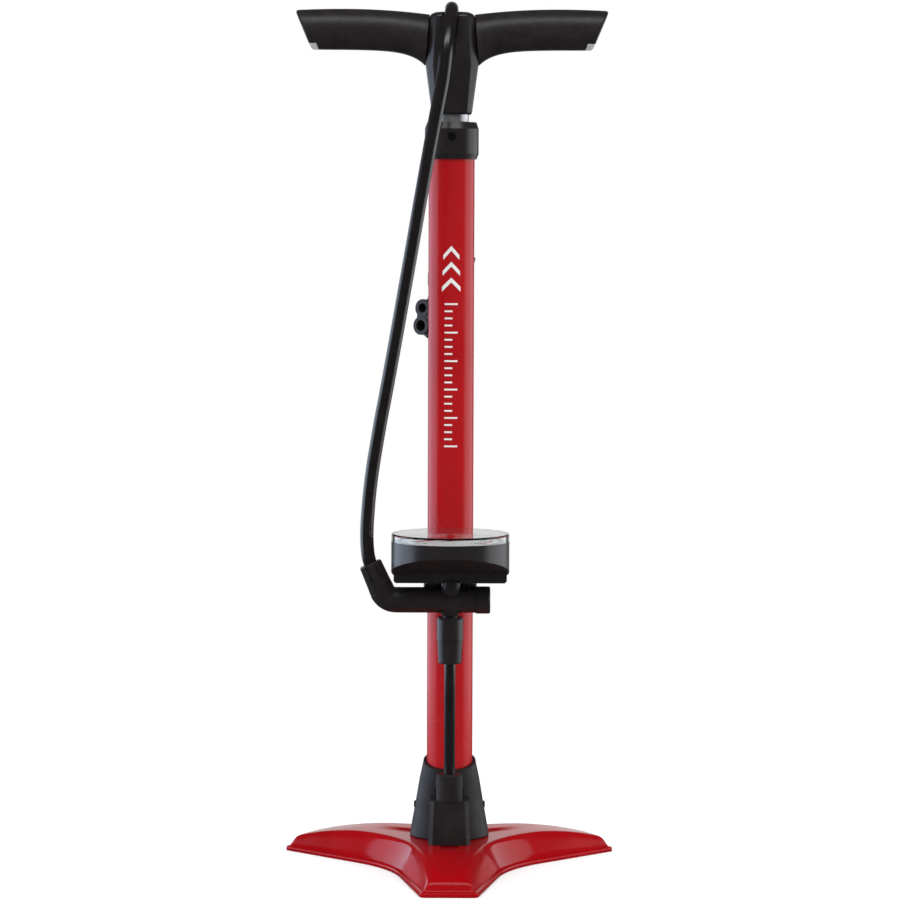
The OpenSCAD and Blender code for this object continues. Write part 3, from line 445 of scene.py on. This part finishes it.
# ------------------------------------------------------------------ hose
HOSE_R = 5.1
HOSE_ROUTE = [
    (-55, -46, 224.3), (-58.6, -46, 232.5), (-61.4, -46, 240.6), (-62.6, -46, 250),
    (-62.8, -46, 262), (-62, -46, 276), (-60.6, -46, 292), (-58.3, -46, 310), (-55.4, -46, 328),
    (-52.3, -46, 346), (-48.9, -46, 364), (-42.4, -46, 400), (-36.1, -45.6, 436),
    (-29.8, -45, 472), (-23.6, -44.4, 508), (-17.6, -43.6, 542), (-12.1, -42.8, 572),
    (-6.9, -42.2, 600), (-4.4, -41, 622), (-3, -36.4, 634), (-1.9, -29.6, 642.4),
    (-0.6, -18, 650.6), (-0.3, 0, 654.8), (0, 18, 650.6), (0.5, 29.6, 642.4), (1, 36.4, 634),
    (1.4, 41, 622), (1.6, 42.4, 600), (1, 42, 570), (-1, 40, 540), (-3.1, 36.6, 508),
    (-5.1, 33, 480), (-7.4, 30.6, 464), (-8.8, 30, 450), (-9.7, 30, 438.5)]
hose_path = spline(HOSE_ROUTE, 8)
hose = add_mesh("hose_main", *swept(hose_path, HOSE_R, 28), HOSE)
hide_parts("main_hose")
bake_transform(hose)

# ------------------------------------------------------------------ base plate
PLATE_LOW, PLATE_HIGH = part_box("base_plate")
LEG_REACH = -PLATE_LOW[1] / MM
PLATE_Z = PLATE_HIGH[2] / MM
LEG_HALF_W = 21
FORK_R = 57
SIDE_ANGLE = 78
CORNER_R = 4
FLANGE_W = 3
WALL_RUN = 0.5
LIP_Z = 3.5
PLATE_T = 2
DOME_TOP = 24
DOME_R = 56
HUB_R = 12
CREST_SOFT = 3.2
ARC, SIDE, CORNER, TIP = 26, 12, 8, 6
LEG_POINTS = ARC + SIDE + CORNER + TIP + 1


def heading(degrees):
    return Vector((math.cos(math.radians(degrees)), math.sin(math.radians(degrees))))


SIDE_N = heading(SIDE_ANGLE)
SIDE_REACH = LEG_REACH * SIDE_N.x + LEG_HALF_W * SIDE_N.y
FORK_S = math.sin(math.radians(150 - SIDE_ANGLE))
FORK_ARC = (FORK_R * FORK_S - SIDE_REACH) / (1 - FORK_S)
FORK_C = heading(60) * (FORK_R + FORK_ARC)


def outline(i, d):
    """Point i along half a leg's outline moved in by d: fork arc, side, corner, tip."""
    r = max(CORNER_R - d, 1.5)
    reach = LEG_REACH - d - r
    middle = Vector((reach, (SIDE_REACH - d - r - reach * SIDE_N.x) / SIDE_N.y))
    if i <= ARC:
        return FORK_C - heading(60 + (SIDE_ANGLE - 60) * i / ARC) * (FORK_ARC + d)
    i -= ARC
    if i < SIDE:
        touch = FORK_C - SIDE_N * (FORK_ARC + d)
        return touch.lerp(middle + SIDE_N * r, i / SIDE)
    i -= SIDE
    if i <= CORNER:
        return middle + heading(SIDE_ANGLE * (1 - i / CORNER)) * r
    return Vector((LEG_REACH - d, middle.y * (1 - (i - CORNER) / TIP)))


def dome(r):
    """Height of the pressing's top at a distance from the axis, flat under the collar."""
    drop = (r / DOME_R) ** 3 - (DOME_TOP - PLATE_Z)
    return PLATE_Z - 0.5 * math.log1p(math.exp(2 * drop))


def crest(i):
    """How far in the wall's top edge is at point i, and its height."""
    z = PLATE_Z
    for _ in range(6):
        d = FLANGE_W + WALL_RUN * (z - LIP_Z)
        z = dome(outline(i, d).length)
    return d, z


def plate_section(i):
    """The pressing's section at point i, from the rim round over the top to the underside."""
    edge, top = crest(i)
    rise = top - LIP_Z
    rim = [(0.5, 0), (0.15, 0.25), (0, 0.8), (0, 2.3), (0.2, 3), (0.7, 3.4), (1.4, LIP_Z),
           (2.2, LIP_Z + 0.02), (2.8, LIP_Z + 0.25), (FLANGE_W + 0.25, LIP_Z + 0.9)]
    soft = min(CREST_SOFT, rise * 0.6)
    wall_end = (edge - WALL_RUN * soft, top - soft)
    wall = [tuple(Vector(rim[-1]).lerp(Vector(wall_end), t / 4)) for t in range(1, 4)]
    crown_start = (edge + CREST_SOFT, dome(outline(i, edge + CREST_SOFT).length))
    bend = [tuple(Vector(wall_end) * (1 - t) ** 2 + Vector((edge, top)) * 2 * t * (1 - t)
                  + Vector(crown_start) * t ** 2) for t in (0, 0.17, 0.34, 0.5, 0.66, 0.83, 1)]
    points = []
    for d, z in rim + wall + bend:
        p = outline(i, d)
        points.append((p.x, p.y, z))
    start = outline(i, crown_start[0])
    for s in (0.98, 0.95, 0.91, 0.86, 0.8, 0.73, 0.66, 0.59, 0.52):
        points.append((start.x * s, start.y * s, dome(start.length * s)))
    hub = start.normalized() * HUB_R
    points.append((hub.x, hub.y, PLATE_Z))
    points.append((hub.x, hub.y, PLATE_Z - PLATE_T))
    for s in (0.52, 0.66, 0.8, 0.95):
        points.append((start.x * s, start.y * s, dome(start.length * s) - PLATE_T))
    under = [(edge + 2.2, top - PLATE_T - 0.4), (edge + 0.9, top - PLATE_T - 1.6),
             (FLANGE_W + PLATE_T, LIP_Z - 0.6), (PLATE_T, LIP_Z - PLATE_T * 0.7), (PLATE_T, 0)]
    for d, z in under:
        p = outline(i, d)
        points.append((p.x, p.y, z))
    return points


def plate_mesh():
    half = [plate_section(i) for i in range(LEG_POINTS)]
    mirrored = [[(x, -y, z) for x, y, z in section] for section in half]
    leg = mirrored + half[-2:0:-1]
    verts = []
    for angle in (-90, 30, 150):
        turn = Matrix.Rotation(math.radians(angle), 3, "Z")
        verts += [turn @ Vector(p) for section in leg for p in section]
    n = len(half[0])
    rows = len(verts) // n
    faces = [(r * n + k, r * n + (k + 1) % n, (r + 1) % rows * n + (k + 1) % n,
              (r + 1) % rows * n + k) for r in range(rows) for k in range(n)]
    return verts, faces


plate = add_mesh("plate_pressing", *plate_mesh(), PLATE_RED)
stand_for(plate, "pump", "red_paint", "base_plate")

# ------------------------------------------------------------------ riser tube
RISER_ROUTE = [(0, -38, 60.2), (0, -38, 72), (0, -38, 80), (0, -38.6, 90), (0, -39.8, 102),
               (0, -41.4, 116), (0, -43, 130), (0, -44.6, 144), (0, -45.6, 156), (0, -46, 166),
               (0, -46, 176)]
RISER_R = 4.2
riser = add_mesh("riser_skin", *swept(spline(RISER_ROUTE, 6), RISER_R, 24), HOSE)
stand_for(riser, "pump", "hose_rubber", "riser_tube")

# ------------------------------------------------------------------ grips
GRIP_INNER_X, GRIP_OUTER_X = 18.75, 114
GRIP_SLANT, GRIP_MID_Z = 0.42, 641
INNER_SLANT, INNER_MID_Z = 0.082, 628
EDGE_R = 2.4
TAB_X, TAB_Z, TAB_LEAN = 102.6, 627.7, 0.34
TAB_GAP = 0.05
CREST_X, CREST_Z = 80, 654.1
FRONT_SOFT = 0.86
GRIP_SIDES = 72
GRIP_STEPS = 44


def grip_top(x):
    """Height of the grip's upper line, which is highest at the crest."""
    if x < CREST_X:
        return CREST_Z - 4.3 * ((CREST_X - x) / 63) ** 2
    return CREST_Z - 1.2 * ((x - CREST_X) / 37) ** 2


def grip_low(x):
    """Height of the grip's lower line, which sweeps down to the core."""
    return 623.2 - 10.2 * math.exp(-(x - 21) / 13)


def soft(v):
    return math.copysign(abs(v) ** FRONT_SOFT, v)


def grip_section(side, s, inset):
    """Soft-cornered ring at s along the grip, drawn in by inset."""
    x = GRIP_INNER_X + (GRIP_OUTER_X - GRIP_INNER_X) * s
    top, low = grip_top(x), grip_low(x)
    half_z = (top - low) / 2 - inset
    depth = 15.4 - 1.4 * s - inset
    ring = []
    for k in range(GRIP_SIDES):
        a = 2 * math.pi * (k + 0.5) / GRIP_SIDES
        z = (top + low) / 2 + half_z * soft(math.sin(a))
        slant = (GRIP_SLANT * s ** 3 * (z - GRIP_MID_Z)
                 - INNER_SLANT * (1 - s) ** 3 * (z - INNER_MID_Z))
        ring.append((side * (x + slant), depth * soft(math.cos(a)), z))
    return ring


def grip_loft(side):
    """Rings along the grip, with rounded edges at both ends."""
    length = GRIP_OUTER_X - GRIP_INNER_X
    stations = [(0, 0.5), (0.4 / length, 0)]
    body_end = 1 - EDGE_R / length
    stations += [(body_end * i / GRIP_STEPS, 0) for i in range(1, GRIP_STEPS + 1)]
    for i in range(1, 7):
        a = math.pi / 2 * i / 6
        stations.append((body_end + EDGE_R * math.sin(a) / length, EDGE_R * (1 - math.cos(a))))
    rings = [grip_section(side, s, inset) for s, inset in stations]
    n = GRIP_SIDES
    faces = [(r * n + k, r * n + (k + 1) % n, (r + 1) * n + (k + 1) % n, (r + 1) * n + k)
             for r in range(len(rings) - 1) for k in range(n)]
    faces.append(tuple(range(n)))
    faces.append(tuple((len(rings) - 1) * n + k for k in range(n)))
    return [v for ring in rings for v in ring], faces


def cut_flat(obj, point_mm, normal):
    """Removes what lies past a plane and closes the cut with one flat face."""
    bm = bmesh.new()
    bm.from_mesh(obj.data)
    bmesh.ops.bisect_plane(bm, geom=bm.verts[:] + bm.edges[:] + bm.faces[:], dist=1e-7,
                           plane_co=Vector(point_mm) * MM, plane_no=normal, clear_outer=True)
    rim = [e for e in bm.edges if e.is_boundary]
    for face in bmesh.ops.holes_fill(bm, edges=rim, sides=0)["faces"]:
        face.smooth = False
    bmesh.ops.recalc_face_normals(bm, faces=bm.faces)
    bm.to_mesh(obj.data)
    bm.free()


def soften(obj, width, segments=2, angle=38):
    """Rounds the sharp edges of a built piece."""
    modifier = obj.modifiers.new("edges", "BEVEL")
    modifier.width = width
    modifier.segments = segments
    modifier.limit_method = "ANGLE"
    modifier.angle_limit = math.radians(angle)
    modifier.harden_normals = False
    return obj


def applied(obj):
    """Bakes an object's modifiers into its mesh."""
    graph = bpy.context.evaluated_depsgraph_get()
    mesh = bpy.data.meshes.new_from_object(obj.evaluated_get(graph))
    obj.modifiers.clear()
    obj.data = mesh
    return obj


def carve(obj, cutter):
    modifier = obj.modifiers.new("cut", "BOOLEAN")
    modifier.operation = "DIFFERENCE"
    modifier.solver = "EXACT"
    modifier.object = cutter
    applied(obj)
    bpy.data.objects.remove(cutter)


def tab_prism(side):
    """The space for the tab, under and outside its two inner faces."""
    reach = 30
    section = [(TAB_X - TAB_GAP, TAB_Z + TAB_GAP), (TAB_X + reach, TAB_Z + TAB_GAP),
               (TAB_X + reach, TAB_Z - reach),
               (TAB_X - TAB_GAP - TAB_LEAN * (reach + TAB_GAP), TAB_Z - reach)]
    verts = [(side * x, y, z) for y in (-30, 30) for x, z in section]
    return verts, [(0, 1, 2, 3), (7, 6, 5, 4)] + [(k, (k + 1) % 4, (k + 1) % 4 + 4, k + 4)
                                                  for k in range(4)]


def make_grip(side, name, node_name):
    grip = add_mesh("grip_skin_" + name, *grip_loft(side), GRIP)
    carve(grip, add_mesh("tab_cutter", *tab_prism(side), GRIP))
    stand_for(soften(grip, 0.0004), "handle", "grip_rubber", node_name)
    insert = add_mesh("grip_tab_" + name, *grip_loft(side), INSERT)
    cut_flat(insert, (0, 0, TAB_Z), Vector((0, 0, 1)))
    cut_flat(insert, (side * TAB_X, 0, TAB_Z), Vector((-side, 0, TAB_LEAN)).normalized())
    return stand_for(soften(insert, 0.0003), "handle", "steel")


tabs = [make_grip(-1, "left", "grip_left"), make_grip(1, "right", "grip_right")]
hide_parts("grip_end_inserts")

# ------------------------------------------------------------------ handle core
CORE_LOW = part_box("handle_core")[0][2] / MM
CORE_SLABS = [(15.1, 15.4, 4.5, CORE_LOW), (20, 17.4, 6.5, 611.1), (16.85, 17.4, 5.5, 649.4),
              (12.4, 13.6, 5, 651.6)]
LOOP_R, LOOP_X, LOOP_Z = 42, -0.3, 612.8
GROOVE_GAP = 0.45
ROD_HOLE_R = 13.04
SLOT_AT, SLOT_LEAN, SLOT_W = (-8, -20, 619), 4.5, 10.3


def octagon(hx, hy, cut, z):
    return [(hx, -hy + cut, z), (hx, hy - cut, z), (hx - cut, hy, z), (-hx + cut, hy, z),
            (-hx, hy - cut, z), (-hx, -hy + cut, z), (-hx + cut, -hy, z), (hx - cut, -hy, z)]


def core_mesh():
    verts = [v for slab in CORE_SLABS for v in octagon(*slab)]
    faces = [(r * 8 + k, r * 8 + (k + 1) % 8, (r + 1) * 8 + (k + 1) % 8, (r + 1) * 8 + k)
             for r in range(len(CORE_SLABS) - 1) for k in range(8)]
    last = (len(CORE_SLABS) - 1) * 8
    return verts, faces + [tuple(range(8)), tuple(last + k for k in range(8))]


core = add_mesh("core_casting", *core_mesh(), BLACK)
applied(soften(core, 0.0018, 4, 8))
groove = [Vector((LOOP_X, LOOP_R * math.cos(a), LOOP_Z + LOOP_R * math.sin(a)))
          for a in (math.pi * i / 72 for i in range(73))]
carve(core, add_mesh("groove_cutter", *swept(groove, HOSE_R + GROOVE_GAP, 32), BLACK))
slot_turn = Matrix.Translation(SLOT_AT) @ Matrix.Rotation(math.radians(SLOT_LEAN), 4, "Y")
SLOT_CORNERS = [(x, y, z) for x in (0, SLOT_W) for y in (0, 6) for z in (0, 50)]
SLOT_FACES = [(0, 1, 3, 2), (4, 6, 7, 5), (0, 4, 5, 1), (2, 3, 7, 6), (0, 2, 6, 4), (1, 5, 7, 3)]
slot_cutter = add_mesh("slot_cutter", SLOT_CORNERS, SLOT_FACES, BLACK, slot_turn)
applied(soften(slot_cutter, 0.0012, 3))
carve(core, slot_cutter)
rod_hole = [Vector((0, 0, CORE_LOW - 2)), Vector((0, 0, CORE_LOW + 30))]
carve(core, add_mesh("rod_cutter", *swept(rod_hole, ROD_HOLE_R, 96), BLACK))
stand_for(even_normals(core), "handle", "black_plastic", "handle_core")

# ------------------------------------------------------------------ barrel decal
BARREL_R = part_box("barrel")[1][0] / MM
DECAL_T = 0.06
RUNG_LEFT = -5


def patch(low, high, arc0, arc1, steps):
    """Thin closed patch on the barrel's front between two height functions of the arc."""
    verts, faces = [], []
    for i in range(steps + 1):
        arc = arc0 + (arc1 - arc0) * i / steps
        for r, height in ((0.01, low), (DECAL_T, low), (DECAL_T, high), (0.01, high)):
            a = arc / BARREL_R
            verts.append(((BARREL_R + r) * math.sin(a), -(BARREL_R + r) * math.cos(a),
                          height(arc)))
    for i in range(steps):
        for k in range(4):
            j = (k + 1) % 4
            faces.append((i * 4 + k, i * 4 + j, (i + 1) * 4 + j, (i + 1) * 4 + k))
    faces.append((3, 2, 1, 0))
    faces.append(tuple(steps * 4 + k for k in range(4)))
    return verts, faces


def gather(pieces):
    """Joins several vertex and face lists into one."""
    verts, faces = [], []
    for v, f in pieces:
        faces += [tuple(i + len(verts) for i in face) for face in f]
        verts += v
    return verts, faces


def chevron(z, half, rise, stroke):
    return patch(lambda a: z + rise * (1 - abs(a) / half),
                 lambda a: z + rise * (1 - abs(a) / half) + stroke, -half, half, 12)


def rung(z, width, stroke):
    return patch(lambda a: z, lambda a: z + stroke, RUNG_LEFT, RUNG_LEFT + width, 6)


CHEVRONS = [chevron(440.5 + 12 * i, 7.2 - 0.5 * i, 7, 3.6) for i in range(3)]
RUNGS = [rung(430.4 - 5.4 * i, 10 if i % 4 == 0 else 6, 1.3) for i in range(21)]
decal = add_mesh("decal_marks", *gather(CHEVRONS + RUNGS), WHITE_INK)
stand_for(even_normals(decal), "pump", "dial_face")

# ------------------------------------------------------------------ gauge dial
DIAL_LOW, DIAL_HIGH = (Vector(v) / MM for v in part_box("gauge_dial"))
DIAL_CENTRE = (DIAL_LOW + DIAL_HIGH) / 2
DIAL_TOP = DIAL_HIGH.z
INK_T, INK_GAP = 0.06, 0.005
DIAL_START = 225
DIAL_SWEEP = 270
TICKS = 80
NUMBERS, NUMBER_STEP, NUMBER_R = 9, 20, 26.2
BAND_START = DIAL_START - 210


def dial_bar(angle, r0, r1, width):
    """A bar of ink that points at the dial's middle."""
    turn = Matrix.Rotation(math.radians(angle), 3, "Z")
    verts = []
    for z in (DIAL_TOP + INK_GAP, DIAL_TOP + INK_T):
        for x, y in ((r0, -width), (r1, -width), (r1, width), (r0, width)):
            p = turn @ Vector((x, y / 2, 0))
            verts.append((DIAL_CENTRE.x + p.x, DIAL_CENTRE.y + p.y, z))
    return verts, [(3, 2, 1, 0), (4, 5, 6, 7), (0, 1, 5, 4), (1, 2, 6, 5), (2, 3, 7, 6),
                   (3, 0, 4, 7)]


def dial_arc(a0, a1, r0, r1, steps):
    """A flat band of ink round the dial."""
    verts, faces = [], []
    for i in range(steps + 1):
        h = heading(a0 + (a1 - a0) * i / steps)
        for r, z in ((r0, INK_GAP), (r1, INK_GAP), (r1, INK_T), (r0, INK_T)):
            verts.append((DIAL_CENTRE.x + h.x * r, DIAL_CENTRE.y + h.y * r, DIAL_TOP + z))
    for i in range(steps):
        for k in range(4):
            j = (k + 1) % 4
            faces.append((i * 4 + k, i * 4 + j, (i + 1) * 4 + j, (i + 1) * 4 + k))
    return verts, faces + [(3, 2, 1, 0), tuple(steps * 4 + k for k in range(4))]


def tick(i):
    angle = DIAL_START - DIAL_SWEEP * i / TICKS
    if i % 10 == 0:
        return dial_bar(angle, 33, 39.5, 1.3)
    if i % 5 == 0:
        return dial_bar(angle, 35, 39.5, 0.8)
    return dial_bar(angle, 37, 39.5, 0.45)


marks = [tick(i) for i in range(TICKS + 1)]
marks.append(dial_arc(DIAL_START, DIAL_START - DIAL_SWEEP, 39.9, 40.5, 96))
dial_marks = add_mesh("dial_marks", *gather(marks), INK)
stand_for(even_normals(dial_marks), "pump", "black_plastic")
band = dial_arc(BAND_START, DIAL_START - DIAL_SWEEP, 30.2, 31.8, 24)
warning_arc = add_mesh("dial_band", *band, POINTER)
stand_for(even_normals(warning_arc), "pump", "pointer_red")


def number(value, angle, radius, size):
    """A printed number on the dial, read from the front."""
    curve = bpy.data.curves.new("number_" + value, "FONT")
    curve.body = value
    curve.size = size * MM
    curve.extrude = INK_T / 2 * MM
    curve.resolution_u = 3
    curve.align_x = "CENTER"
    curve.align_y = "CENTER"
    curve.materials.append(INK)
    source = bpy.data.objects.new("number_source", curve)
    bpy.context.scene.collection.objects.link(source)
    graph = bpy.context.evaluated_depsgraph_get()
    graph.update()
    mesh = bpy.data.meshes.new_from_object(source.evaluated_get(graph))
    h = heading(angle) * radius
    mesh.transform(Matrix.Translation(Vector((DIAL_CENTRE.x + h.x, DIAL_CENTRE.y + h.y,
                                              DIAL_TOP + INK_T / 2 + INK_GAP)) * MM))
    obj = bpy.data.objects.new("number_" + value, mesh)
    bpy.context.scene.collection.objects.link(obj)
    bpy.data.objects.remove(source)
    stand_for(obj, "pump", "black_plastic")


for i in range(NUMBERS):
    angle = DIAL_START - DIAL_SWEEP * i / (NUMBERS - 1)
    number(str(NUMBER_STEP * i), angle, NUMBER_R, 7 if i < 5 else 6.2)
